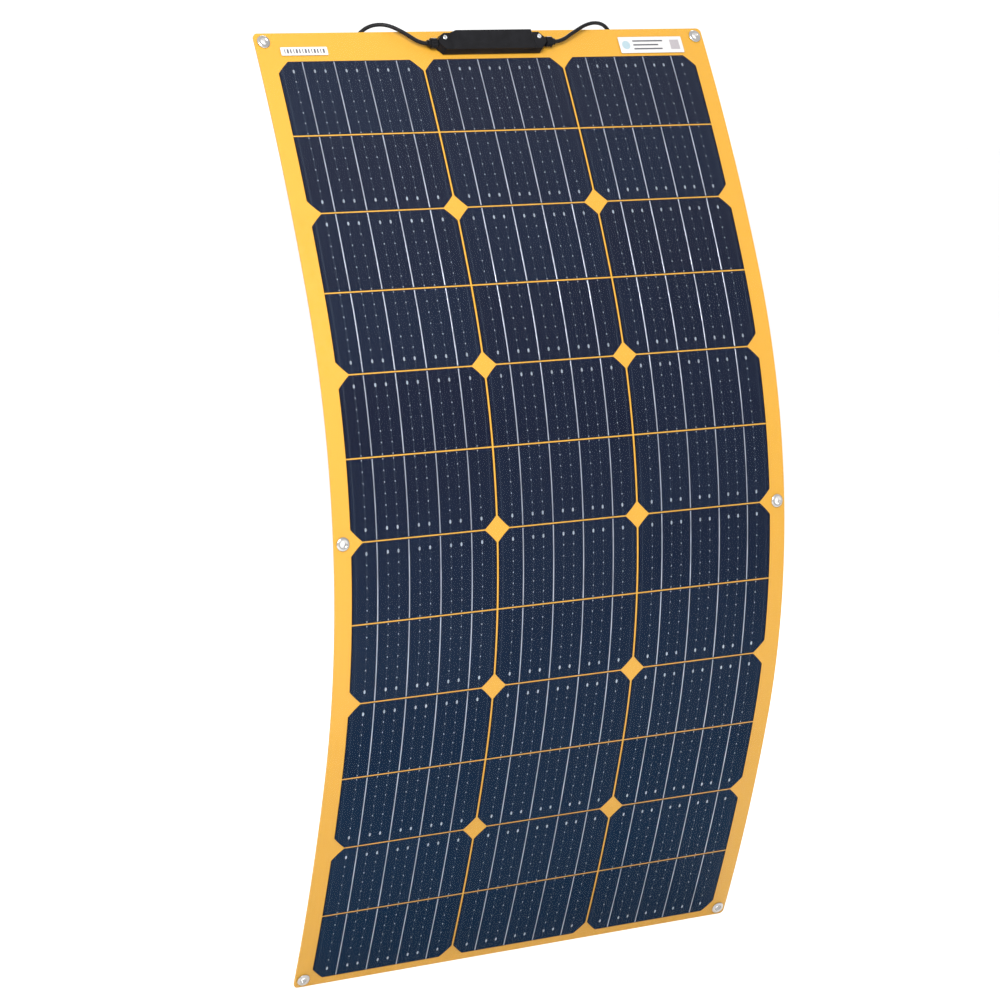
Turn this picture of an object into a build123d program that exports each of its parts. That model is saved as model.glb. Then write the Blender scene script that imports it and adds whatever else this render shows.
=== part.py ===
from build123d import *

import os
from math import cos, pi, radians, sin, tan

# A flexible solar sheet, bowed as it is stored and shown: a thin laminate of half-cut cells
# on a stiff yellow back sheet, with six eyelets, a junction box and two leads.
# Millimetres, +Z up.  The front faces -Y and is convex.  The origin is in the middle of the
# laminate's thickness, midway between the two side eyelets.
# A place on the sheet is given by x, by its distance along the sheet above the origin,
# and by its height in front of the laminate's mid-plane.

# Cells
cell_side = 156.75
wafer_diameter = 205.0
columns = 3
rows = 6
column_gap = 2.0
row_gap = 1.35
half_cut_gap = 1.4
cell_thickness = 0.25
ribbons_per_cell = 4
ribbon_pitch = 34.0
ribbon_width = 1.1
ribbon_thickness = 0.15
ribbon_end = 0.8
pocket_clearance = 0.1

# Sheet
side_margin = 17.9
top_margin = 31.2
bottom_margin = 8.5
corner_radius = 5.0
back_sheet_thickness = 1.5
front_sheet_thickness = 1.0
strip_gap = 0.7

# Bow: one radius round the middle rows and a larger one towards both ends
middle_radius = 730.0
end_radius = 1900.0

# Eyelets
eyelet_hole = 7.0
eyelet_wall = 0.5
eyelet_flange = 13.5
eyelet_inset = 9.5
flange_height = 1.0
washer_thickness = 0.6
eyelet_lip = 0.6
curl_height = 0.6
curl_width = 1.2
washer_chamfer = 0.2
fit_gap = 0.05

# Bus ribbons, laid in grooves of the back sheet behind the end rows of cells
bus_width = 5.0
bus_thickness = 0.3
bus_inset = 7.0
bus_end_inset = 39.7
bus_jumper = 127.0
window_margin = 6.0

# Junction box
box_length = 124.0
box_depth = 20.2
box_edge_distance = 6.6
box_height = 7.5
box_chamfer = 7.0
box_taper = 8.0
box_wall = 2.2
box_floor = 1.2
pad_thickness = 0.5
pad_inset = 1.5
shoulder_length = 15.0
lid_plate = 1.8
lid_rise = 5.7
lid_lower_slope = 5.2
lid_end_slope = 4.5
lid_wall = 1.4
gasket_width = 1.0
gasket_thickness = 0.8
screw_inset = 8.5
screw_offset = 3.7
screw_shank = 2.2
screw_head = 4.6
screw_head_height = 1.3
screw_head_rounding = 0.5
screw_cross_length = 3.2
screw_cross_width = 0.65
screw_length = 7.0
terminal_inset = 13.5
terminal_length = 11.0
terminal_width = 7.0
terminal_height = 5.0
diode_diameter = 4.6
diode_length = 8.0
diode_lead = 0.9
diode_height = 2.6
diode_rounding = 0.45
gland_nut = 10.5
gland_nut_length = 7.0
gland_grooves = 12
gland_groove = 1.2
gland_chamfer = 0.65
gland_neck = 7.0
gland_length = 10.0
gland_height = 5.6
core_diameter = 2.4

# Leads
cable_diameter = 4.0
lead_length = 900.0
arc_share = 0.9
coil_turns = 4
turn_gap = 0.2
coil_radius = 26.0
tie_thickness = 1.0
tie_width = 3.0
tie_head_depth = 3.0
tie_head_width = 4.8
tie_clearance = 0.2
connector_nut = 17.0
connector_nut_length = 17.0
nut_taper_length = 5.7
nut_wall = 2.0
grip_grooves = 8
grip_groove = 2.4
connector_body = 15.0
connector_body_length = 24.0
connector_nose = 11.0
connector_nose_length = 15.0
socket_diameter = 16.0
contact_diameter = 4.0
contact_length = 14.0
contact_room = 1.0
contact_recess = 2.0
contact_rounding = 0.8
latch_width = 5.0
latch_thickness = 2.4
latch_reach = 8.0

# Route of each lead from its gland to the top of its coil
positive_route = [
    (-72.0, 129.9, 471.5),
    (-80.0, 129.9, 471.5),
    (-97.0, 133.6, 483.2),
    (-112.0, 141.0, 491.2),
    (-126.0, 151.5, 490.3),
    (-137.5, 158.5, 479.5),
    (-142.5, 161.5, 461.0),
    (-144.0, 163.0, 432.0),
    (-144.4, 163.2, 402.0),
    (-144.0, 163.0, 372.0),
]
negative_route = [
    (72.0, 129.9, 471.5),
    (80.0, 129.9, 471.5),
    (98.0, 132.6, 481.5),
    (114.0, 136.5, 488.8),
    (131.0, 144.5, 491.0),
    (146.5, 152.5, 487.5),
    (158.0, 159.0, 475.5),
    (163.0, 161.5, 456.0),
    (164.6, 163.0, 430.0),
    (165.0, 163.3, 404.0),
    (164.6, 163.0, 376.0),
]

# Labels
label_thickness = 0.15
label_corner = 1.0
serial_label_size = (50.0, 9.0)
serial_label_x = -205.0
serial_label_drop = 20.5
rating_label_size = (76.0, 18.5)
rating_label_x = 189.5
rating_label_drop = 19.0

# Worked out from the sizes above
column_pitch = cell_side + column_gap
row_pitch = cell_side + half_cut_gap + row_gap
field_top = rows / 2 * row_pitch - row_gap / 2
sheet_top = field_top + top_margin
sheet_bottom = -field_top - bottom_margin
sheet_width = columns * column_pitch - column_gap + 2 * side_margin
thickness = back_sheet_thickness + front_sheet_thickness
back_face = -thickness / 2
front_face = thickness / 2
bond_line = back_face + back_sheet_thickness
cell_face = bond_line + cell_thickness
ribbon_face = cell_face + ribbon_thickness
pocket_top = ribbon_face + pocket_clearance
arc_change = 1.5 * row_pitch
eyelet_x = sheet_width / 2 - eyelet_inset
box_place = sheet_top - box_edge_distance - box_depth / 2
cavity_length = box_length - 2 * shoulder_length
terminal_x = cavity_length / 2 - terminal_inset
screw_x = box_length / 2 - screw_inset
window_length = 2 * (terminal_x + window_margin)
window_depth = 2 * bus_width
coil_pitch = cable_diameter + turn_gap

os.makedirs("parts", exist_ok=True)


def save(part, name):
    """Labels a finished piece and writes its STEP file."""
    part.label = name
    export_step(part, f"parts/{name}.step")


# The bow


def lean(along):
    """Angle, in radians, by which the sheet leans back at a distance along it."""
    inner = min(abs(along), arc_change)
    angle = inner / middle_radius + (abs(along) - inner) / end_radius
    return angle if along >= 0 else -angle


def bow(along, height):
    """The (y, z) of a place on the bowed sheet."""
    inner = min(abs(along), arc_change) / middle_radius
    whole = abs(lean(along))
    back = middle_radius * (1 - cos(inner)) + end_radius * (cos(inner) - cos(whole))
    up = middle_radius * sin(inner) + end_radius * (sin(whole) - sin(inner))
    side = 1 if along >= 0 else -1
    return (back - height * cos(whole), side * (up + height * sin(whole)))


def face_plane(x, along, height, turned=False):
    """A plane parallel to the sheet at that place, with local Y up the sheet, or down it if turned."""
    y, z = bow(along, height)
    angle = lean(along)
    return Plane(
        origin=(x, y, z),
        x_dir=(-1 if turned else 1, 0, 0),
        z_dir=(0, -cos(angle), sin(angle)),
    )


def layer_outline(first, last, low, high):
    """Side view of one layer of the bowed sheet between two distances along it."""
    middle = (first + last) / 2
    with BuildSketch(Plane.YZ) as outline:
        with BuildLine():
            ThreePointArc(bow(first, low), bow(middle, low), bow(last, low))
            Line(bow(last, low), bow(last, high))
            ThreePointArc(bow(last, high), bow(middle, high), bow(first, high))
            Line(bow(first, high), bow(first, low))
        make_face()
    return outline.sketch


# The strips: stiff bands between the half-cut lines, which are where the sheet flexes


def strip_name(place):
    """The name of the strip round a row gap, counted upwards from the middle one."""
    if place == 0:
        return "middle"
    if abs(place) == rows // 2:
        return "top" if place > 0 else "bottom"
    return f"upper_{place}" if place > 0 else f"lower_{-place}"


def strip_ends(place):
    """Where the strip round that row gap starts and ends along the sheet."""
    first = (place - 0.5) * row_pitch + strip_gap / 2
    last = (place + 0.5) * row_pitch - strip_gap / 2
    if place == -rows // 2:
        first = sheet_bottom
    if place == rows // 2:
        last = sheet_top
    return first, last


def half_cell_planes(place):
    """A plane at the middle of each half cell on a strip, with local Y towards its clipped corners."""
    half = cell_side / 2
    planes = []
    for column in range(columns):
        x = (column - (columns - 1) / 2) * column_pitch
        if place < rows // 2:
            above = place * row_pitch + row_gap / 2 + half / 2
            planes.append(face_plane(x, above, bond_line, turned=True))
        if place > -rows // 2:
            below = place * row_pitch - row_gap / 2 - half / 2
            planes.append(face_plane(x, below, bond_line))
    return planes


def half_cell_outline(planes, growth=0.0):
    """Half of a square wafer cell: two corners clipped by the wafer's edge, one straight cut edge."""
    with BuildSketch(*planes) as outline:
        Rectangle(cell_side + 2 * growth, cell_side / 2 + 2 * growth)
        with Locations((0, -cell_side / 4)):
            Circle(wafer_diameter / 2 + growth, mode=Mode.INTERSECT)
    return outline.sketch


def eyelet_planes(place):
    """Where eyelets go through a strip, on the laminate's mid-plane, facing forwards."""
    along = {
        rows // 2: sheet_top - eyelet_inset,
        0: 0,
        -rows // 2: sheet_bottom + eyelet_inset,
    }
    if place not in along:
        return []
    return [face_plane(side * eyelet_x, along[place], 0) for side in (-1, 1)]


def layer(place, low, high):
    """One layer of a strip, with its rounded sheet corners and eyelet holes."""
    first, last = strip_ends(place)
    with BuildPart() as band:
        extrude(layer_outline(first, last, low, high), amount=sheet_width / 2, both=True)
        if abs(place) == rows // 2:
            short = band.edges().filter_by(lambda edge: edge.length < 2 * thickness)
            corners = short.group_by(Axis.Z)[-1 if place > 0 else 0]
            fillet(corners, corner_radius)
        planes = eyelet_planes(place)
        if planes:
            with Locations(*planes):
                hole = eyelet_hole / 2 + eyelet_wall + fit_gap
                Cylinder(hole, 4 * thickness, mode=Mode.SUBTRACT)
    return band.part


def inlay(outline, place, low, high):
    """What a flat outline becomes when it lies in one layer of a strip."""
    first, last = strip_ends(place)
    with BuildPart() as piece:
        extrude(outline, amount=3 * thickness, both=True)
        extrude(
            layer_outline(first, last, low, high),
            amount=sheet_width / 2,
            both=True,
            mode=Mode.INTERSECT,
        )
    return piece.part


# Bus ribbons: one over the top row of cells and one under the bottom row, with two leads
# that run up to the junction box.  Each is a flat outline on a plane that follows the sheet.


def bus_outline(place, growth):
    """Outlines of the bus ribbons of an end strip."""
    side = 1 if place > 0 else -1
    along = side * (field_top - bus_inset)
    reach = columns * column_pitch / 2 - bus_end_inset
    with BuildSketch(face_plane(0, along, bond_line)) as outline:
        if side > 0:
            lead = box_place - along
            for end in (-1, 1):
                with Locations((end * (terminal_x + reach) / 2, 0)):
                    Rectangle(reach - terminal_x + 2 * growth, bus_width + 2 * growth)
                with Locations((end * terminal_x, lead / 2)):
                    Rectangle(bus_width + 2 * growth, lead + bus_width + 2 * growth)
        else:
            with Locations((-column_pitch / 2, 0), (column_pitch, 0)):
                Rectangle(bus_jumper + 2 * growth, bus_width + 2 * growth)
    return outline.sketch


for place in range(-rows // 2, rows // 2 + 1):
    strip = strip_name(place)
    cells = half_cell_planes(place)

    # Back sheet
    with BuildPart() as back_sheet:
        add(layer(place, back_face, bond_line))
        if abs(place) == rows // 2:
            groove = bus_outline(place, pocket_clearance)
            depth = bus_thickness + fit_gap
            add(inlay(groove, place, bond_line - depth, bond_line), mode=Mode.SUBTRACT)
    save(back_sheet.part, f"back_sheet_{strip}")

    # Half cells, on the back sheet
    with BuildPart() as half_cells:
        add(inlay(half_cell_outline(cells), place, bond_line, cell_face))
    save(half_cells.part, f"half_cells_{strip}")

    # Flat wires over the faces of the half cells, ending short of each cell's edge
    with BuildSketch(*cells) as wires:
        with GridLocations(ribbon_pitch, 0, ribbons_per_cell, 1):
            Rectangle(ribbon_width, cell_side / 2 - 2 * ribbon_end)
        with Locations((0, -cell_side / 4)):
            Circle(wafer_diameter / 2 - ribbon_end, mode=Mode.INTERSECT)
    with BuildPart() as cell_ribbons:
        add(inlay(wires.sketch, place, cell_face, ribbon_face))
    save(cell_ribbons.part, f"cell_ribbons_{strip}")

    # Clear front sheet, with a pocket behind it for each half cell and its wires
    with BuildPart() as front_sheet:
        add(layer(place, bond_line, front_face))
        pockets = half_cell_outline(cells, growth=pocket_clearance)
        add(inlay(pockets, place, bond_line, pocket_top), mode=Mode.SUBTRACT)
        if place == rows // 2:
            with BuildSketch(face_plane(0, box_place, 0)):
                Rectangle(window_length, window_depth)
            extrude(amount=thickness, both=True, mode=Mode.SUBTRACT)
    save(front_sheet.part, f"front_sheet_{strip}")

# Junction box heights are measured from the sheet's front face

base_seat = pad_thickness + fit_gap
base_top = base_seat + box_height
lid_seat = base_top + fit_gap
lid_top = lid_seat + lid_plate + lid_rise
floor_top = base_seat + box_floor
top_inset = box_height * tan(radians(box_taper))
cavity_depth = box_depth - 2 * top_inset - 2 * box_wall
lid_depth = box_depth - 2 * top_inset
terminal_seat = floor_top + fit_gap


def box_plane(height):
    """A plane parallel to the sheet under the box, at a height above the sheet's front face."""
    return face_plane(0, box_place, front_face + height)


def end_cylinder(diameter, start, length, side):
    """A round bar along x at gland height, from a distance out from the middle of the box."""
    axis = bow(box_place, front_face + gland_height)
    with BuildPart() as bar:
        with BuildSketch(Plane.YZ.offset(side * start)):
            with Locations(axis):
                Circle(diameter / 2)
        extrude(amount=side * length)
    return bar.part


for end, place in {"top": rows // 2, "bottom": -rows // 2}.items():
    with BuildPart() as bus_ribbons:
        ribbon_back = bond_line - bus_thickness
        add(inlay(bus_outline(place, 0), place, ribbon_back, bond_line))
        if place > 0:
            with BuildSketch(face_plane(0, box_place, bond_line - bus_thickness / 2)):
                with Locations((-terminal_x, 0), (terminal_x, 0)):
                    Rectangle(bus_width, bus_thickness)
            extrude(amount=front_face + terminal_seat - bond_line)
    save(bus_ribbons.part, f"bus_ribbons_{end}")

# Eyelets: a barrel through the sheet with a domed flange in front, curled over a washer behind

flange_seat = front_face + fit_gap
washer_seat = back_face - fit_gap
barrel_radius = eyelet_hole / 2 + eyelet_wall
curl_seat = washer_seat - washer_thickness - fit_gap
curl_radius = barrel_radius + curl_width
lip_top = flange_seat + eyelet_lip

with BuildPart() as eyelet:
    with BuildSketch(Plane.XZ):
        with BuildLine():
            Polyline(
                (eyelet_hole / 2, lip_top),
                (eyelet_hole / 2, curl_seat - curl_height),
                (curl_radius, curl_seat - curl_height),
                (curl_radius, curl_seat),
                (barrel_radius, curl_seat),
                (barrel_radius, flange_seat),
                (eyelet_flange / 2, flange_seat),
            )
            ThreePointArc(
                (eyelet_flange / 2, flange_seat),
                (barrel_radius + (eyelet_flange / 2 - barrel_radius) / 2, flange_seat + flange_height),
                (eyelet_hole / 2, lip_top),
            )
        make_face()
    revolve(axis=Axis.Z)

with BuildPart() as washer:
    with BuildSketch(Plane.XY.offset(washer_seat)):
        Circle(eyelet_flange / 2)
        Circle(barrel_radius + fit_gap, mode=Mode.SUBTRACT)
    extrude(amount=-washer_thickness)
    rims = washer.edges().filter_by(GeomType.CIRCLE).group_by(SortBy.RADIUS)[-1]
    chamfer(rims.sort_by(Axis.Z)[0], washer_chamfer)

for name, place in {"top": rows // 2, "side": 0, "bottom": -rows // 2}.items():
    with BuildPart() as eyelets:
        with Locations(*eyelet_planes(place)):
            add(eyelet.part)
    save(eyelets.part, f"{name}_eyelets")

    with BuildPart() as washers:
        with Locations(*eyelet_planes(place)):
            add(washer.part)
    save(washers.part, f"{name}_eyelet_washers")

# Junction box


def box_outline(inset=0.0):
    """Plan of the box: a long rectangle with its corners cut off towards the glands."""
    with BuildSketch() as plan:
        Rectangle(box_length - 2 * inset, box_depth - 2 * inset)
        chamfer(plan.vertices(), box_chamfer)
    return plan.sketch


def gasket_outline(clearance):
    """Plan of the ring round the cavity that the gasket fills."""
    inside = gasket_width / 2 + clearance
    outside = 1.5 * gasket_width - clearance
    with BuildSketch() as ring:
        Rectangle(cavity_length + 2 * outside, cavity_depth + 2 * outside)
        Rectangle(cavity_length + 2 * inside, cavity_depth + 2 * inside, mode=Mode.SUBTRACT)
    return ring.sketch


with BuildPart() as adhesive_pad:
    with BuildSketch(box_plane(fit_gap)):
        add(box_outline(inset=pad_inset))
        Rectangle(window_length, window_depth, mode=Mode.SUBTRACT)
    extrude(amount=pad_thickness - fit_gap)
save(adhesive_pad.part, "box_adhesive_pad")

with BuildPart() as box_base:
    with BuildSketch(box_plane(base_seat)):
        add(box_outline())
    extrude(amount=box_height, taper=box_taper)
    with BuildSketch(box_plane(floor_top)):
        Rectangle(cavity_length, cavity_depth)
    extrude(amount=box_height, mode=Mode.SUBTRACT)
    with BuildSketch(box_plane(base_seat)):
        Rectangle(window_length, window_depth)
    extrude(amount=box_floor, mode=Mode.SUBTRACT)
    with BuildSketch(box_plane(base_top)):
        add(gasket_outline(clearance=0))
    extrude(amount=-gasket_thickness, mode=Mode.SUBTRACT)
    with BuildSketch(box_plane(base_top)):
        with Locations((-screw_x, screw_offset), (screw_x, screw_offset)):
            Circle(screw_shank / 2 + fit_gap)
    extrude(amount=lid_plate - screw_length - fit_gap, mode=Mode.SUBTRACT)
    for side in (-1, 1):
        bore = core_diameter + 2 * fit_gap
        add(end_cylinder(bore, 0, box_length, side), mode=Mode.SUBTRACT)
save(box_base.part, "junction_box_base")

def raised_middle(depth, inset, rise):
    """The raised middle of the lid: upright on its upper side, sloping in on the others."""
    length = cavity_length - 2 * inset
    with BuildPart() as middle:
        with BuildSketch(box_plane(lid_seat + lid_plate)):
            Rectangle(length, depth)
        with BuildSketch(box_plane(lid_seat + lid_plate + rise)):
            with Locations((0, lid_lower_slope / 2)):
                Rectangle(length - 2 * lid_end_slope, depth - lid_lower_slope)
        loft()
    return middle.part


with BuildPart() as box_lid:
    with BuildSketch(box_plane(lid_seat)):
        add(box_outline(inset=top_inset))
    extrude(amount=lid_plate)
    add(raised_middle(lid_depth, 0, lid_rise))
    with BuildSketch(box_plane(lid_seat)):
        Rectangle(cavity_length - 2 * lid_wall, cavity_depth - 2 * lid_wall)
    extrude(amount=lid_plate, mode=Mode.SUBTRACT)
    hollow = raised_middle(cavity_depth - 2 * lid_wall, 2 * lid_wall, lid_rise - lid_wall)
    add(hollow, mode=Mode.SUBTRACT)
    with BuildSketch(box_plane(lid_seat)):
        with Locations((-screw_x, screw_offset), (screw_x, screw_offset)):
            Circle(screw_shank / 2 + fit_gap)
    extrude(amount=lid_plate, mode=Mode.SUBTRACT)
save(box_lid.part, "junction_box_lid")

with BuildPart() as gasket:
    with BuildSketch(box_plane(base_top)):
        add(gasket_outline(clearance=fit_gap))
    extrude(amount=fit_gap - gasket_thickness)
save(gasket.part, "lid_gasket")

with BuildPart() as lid_screws:
    head_seat = lid_seat + lid_plate + fit_gap
    with BuildSketch(box_plane(head_seat)):
        with Locations((-screw_x, screw_offset), (screw_x, screw_offset)):
            Circle(screw_head / 2)
    extrude(amount=screw_head_height)
    outwards = Axis(box_plane(0).origin, box_plane(0).z_dir)
    fillet(lid_screws.faces().group_by(outwards)[-1].edges(), screw_head_rounding)
    with BuildSketch(box_plane(head_seat)):
        with Locations((-screw_x, screw_offset), (screw_x, screw_offset)):
            Circle(screw_shank / 2)
    extrude(amount=fit_gap - screw_length)
    with BuildSketch(box_plane(head_seat + screw_head_height)):
        with Locations((-screw_x, screw_offset), (screw_x, screw_offset)):
            Rectangle(screw_cross_length, screw_cross_width)
            Rectangle(screw_cross_width, screw_cross_length)
    extrude(amount=-screw_head_height / 2, mode=Mode.SUBTRACT)
save(lid_screws.part, "lid_screws")

with BuildPart() as terminals:
    with BuildSketch(box_plane(terminal_seat)):
        with Locations((-terminal_x, 0), (terminal_x, 0)):
            Rectangle(terminal_length, terminal_width)
    extrude(amount=terminal_height)
    for side in (-1, 1):
        bore = core_diameter + 2 * fit_gap
        add(end_cylinder(bore, terminal_x, terminal_length, side), mode=Mode.SUBTRACT)
save(terminals.part, "terminals")

with BuildPart() as diode:
    lead_reach = terminal_x - terminal_length / 2 - fit_gap
    with BuildSketch(Plane.YZ):
        with Locations(bow(box_place, front_face + floor_top + diode_height)):
            Circle(diode_diameter / 2)
    extrude(amount=diode_length / 2, both=True)
    fillet(diode.edges().filter_by(GeomType.CIRCLE), diode_rounding)
    with BuildSketch(Plane.YZ):
        with Locations(bow(box_place, front_face + floor_top + diode_height)):
            Circle(diode_lead / 2)
    extrude(amount=lead_reach, both=True)
save(diode.part, "bypass_diode")

gland_start = box_length / 2 + fit_gap
gland_mouth = box_length / 2 + gland_length

with BuildPart() as lead_cores:
    for side in (-1, 1):
        add(end_cylinder(core_diameter, terminal_x, gland_mouth - terminal_x, side))
save(lead_cores.part, "lead_cores")

with BuildPart() as glands:
    for side in (-1, 1):
        neck_start = gland_start + gland_nut_length
        add(end_cylinder(gland_nut, gland_start, gland_nut_length, side))
        add(end_cylinder(gland_neck, neck_start, gland_mouth - neck_start, side))
    ends = glands.edges().filter_by(GeomType.CIRCLE).group_by(SortBy.RADIUS)[-1]
    chamfer(ends, gland_chamfer)
    for side in (-1, 1):
        bore = core_diameter + 2 * fit_gap
        add(end_cylinder(bore, box_length / 2, gland_length, side), mode=Mode.SUBTRACT)
        with BuildSketch(Plane.YZ.offset(side * gland_start)):
            with Locations(bow(box_place, front_face + gland_height)):
                with PolarLocations(gland_nut / 2, gland_grooves):
                    Circle(gland_groove / 2)
        extrude(amount=side * gland_nut_length, mode=Mode.SUBTRACT)
save(glands.part, "cable_glands")

# Labels

for name, size, x, drop in (
    ("serial_label", serial_label_size, serial_label_x, serial_label_drop),
    ("rating_label", rating_label_size, rating_label_x, rating_label_drop),
):
    with BuildPart() as label:
        with BuildSketch(face_plane(x, sheet_top - drop, front_face + fit_gap)):
            RectangleRounded(*size, label_corner)
        extrude(amount=label_thickness)
    save(label.part, name)

# Leads.  Each comes out of its gland, over the sheet's top edge and down behind it, where
# it is wound into a tied coil and ends in its connector.


def lead_tube(route):
    """A lead along straight runs joined by arcs, each as large as its two runs allow."""
    points = [Vector(*point) for point in route]
    runs = [end - start for start, end in zip(points, points[1:])]
    rooms = [run.length / 2 for run in runs]
    # The first run and the last one each serve a single arc
    rooms[0] *= 2
    rooms[-1] *= 2
    radii = []
    for corner in range(len(runs) - 1):
        turn = radians(runs[corner].get_angle(runs[corner + 1]))
        radii.append(arc_share * min(rooms[corner], rooms[corner + 1]) / tan(turn / 2))
    with BuildPart() as tube:
        with BuildLine() as path:
            FilletPolyline(*points, radius=radii)
        with BuildSketch(Plane(origin=path.line @ 0, z_dir=path.line % 0)):
            Circle(cable_diameter / 2)
        sweep()
    length = sum(edge.length for edge in path.edges())
    expected = pi * cable_diameter**2 / 4 * length
    print("bend radii:", [round(radius, 1) for radius in radii])
    print("tube length:", round(length, 1), "volume:", round(tube.part.volume), round(expected))
    return tube.part, length


def coil_middle(route, side):
    """The middle of a coil whose outer side starts where a lead's route ends."""
    x, y, z = route[-1]
    return (x - side * coil_radius, y - coil_turns * coil_pitch / 2, z)


coil_width = coil_turns * coil_pitch + cable_diameter
coil_rounding = cable_diameter / 2 - fit_gap


def connector_bar(stations):
    """A turned piece hanging down from the origin, from (diameter, distance down) pairs."""
    with BuildPart() as bar:
        for (diameter, start), (_, end) in zip(stations, stations[1:]):
            with BuildSketch(Plane.XY.offset(-start)):
                Circle(diameter / 2)
            extrude(amount=start - end)
    return bar.part


nut_end = connector_nut_length
body_start = nut_end + fit_gap
body_end = body_start + connector_body_length
nose_end = body_end + connector_nose_length

with BuildPart() as nut:
    with BuildSketch(Plane.XY):
        Circle(cable_diameter / 2 + nut_wall)
    with BuildSketch(Plane.XY.offset(-nut_taper_length)):
        Circle(connector_nut / 2)
    loft()
    with BuildSketch(Plane.XY.offset(-nut_taper_length)):
        Circle(connector_nut / 2)
        with PolarLocations(connector_nut / 2, grip_grooves):
            Circle(grip_groove / 2, mode=Mode.SUBTRACT)
    extrude(amount=nut_taper_length - connector_nut_length)

with BuildPart() as plug_body:
    add(connector_bar([(connector_body, body_start), (connector_nose, body_end), (0, nose_end)]))
    with BuildSketch(Plane.XY.offset(-body_start - connector_body_length / 2)):
        with Locations((-connector_body / 2, 0), (connector_body / 2, 0)):
            Rectangle(latch_thickness, latch_width)
    extrude(amount=-connector_body_length / 2 - latch_reach)
    with BuildSketch(Plane.XY.offset(-nose_end)):
        Circle(contact_diameter / 2 + contact_room)
    extrude(amount=contact_length, mode=Mode.SUBTRACT)

with BuildPart() as socket_body:
    add(connector_bar([(connector_body, body_start), (socket_diameter, body_end), (0, nose_end)]))
    with BuildSketch(Plane.XY.offset(-nose_end)):
        Circle(connector_nose / 2 + 2 * fit_gap)
    extrude(amount=contact_length, mode=Mode.SUBTRACT)
    with BuildSketch(Plane.YZ):
        with Locations((0, -body_end - latch_reach)):
            Rectangle(latch_width + 4 * fit_gap, latch_width)
    extrude(amount=connector_body, both=True, mode=Mode.SUBTRACT)

with BuildPart() as contact:
    with BuildSketch(Plane.XY.offset(-nose_end + contact_length - fit_gap)):
        Circle(contact_diameter / 2)
    extrude(amount=contact_recess + fit_gap - contact_length)
    fillet(contact.edges().filter_by(GeomType.CIRCLE).sort_by(Axis.Z)[0], contact_rounding)

for name, route, side, body in (
    ("positive", positive_route, -1, plug_body),
    ("negative", negative_route, 1, socket_body),
):
    run_in, run_length = lead_tube(route)
    x, y, z = route[-1]
    turn = ((2 * pi * coil_radius) ** 2 + coil_pitch**2) ** 0.5
    tail_length = lead_length - run_length - coil_turns * turn
    coil_end = y - coil_turns * coil_pitch
    tail_end = z - tail_length
    print(name, "tail:", round(tail_length, 1))

    with BuildPart() as lead:
        add(run_in)
        with BuildSketch(Plane((x, coil_end, z), x_dir=(1, 0, 0), z_dir=(0, 0, -1))):
            Circle(cable_diameter / 2)
        extrude(amount=tail_length)
    save(lead.part, f"{name}_lead")

    middle = coil_middle(route, side)
    with BuildPart() as coil:
        with BuildSketch(Plane(middle, x_dir=(1, 0, 0), z_dir=(0, 0, 1))):
            with Locations((coil_radius, 0)):
                RectangleRounded(cable_diameter + 2 * fit_gap, coil_width, coil_rounding)
        revolve(axis=Axis(middle, (0, 1, 0)))
    save(coil.part, f"{name}_lead_coil")

    tie_plane = Plane(middle, x_dir=(-side, 0, 0), z_dir=(0, 0, -side))
    with BuildPart() as tie:
        inner_depth = cable_diameter + 2 * tie_clearance + 2 * fit_gap
        inner_width = coil_width + 2 * tie_clearance
        with BuildSketch(tie_plane):
            with Locations((coil_radius, 0)):
                Rectangle(inner_depth + 2 * tie_thickness, inner_width + 2 * tie_thickness)
                Rectangle(inner_depth, inner_width, mode=Mode.SUBTRACT)
            with Locations((coil_radius + inner_depth / 2 + 2 * tie_thickness, 0)):
                Rectangle(tie_head_depth, tie_head_width)
        extrude(amount=tie_width / 2, both=True)
    save(tie.part, f"{name}_coil_tie")

    below = Location((x, coil_end, tail_end - fit_gap))
    for piece, source in (
        ("connector_nut", nut),
        ("connector_body", body),
        ("contact", contact),
    ):
        with BuildPart() as placed:
            with Locations(below):
                add(source.part)
        save(placed.part, f"{name}_{piece}")
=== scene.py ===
from math import cos, pi, radians, sin, sqrt

import bmesh
import bpy
import numpy as np
from mathutils import Matrix, Vector


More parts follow.
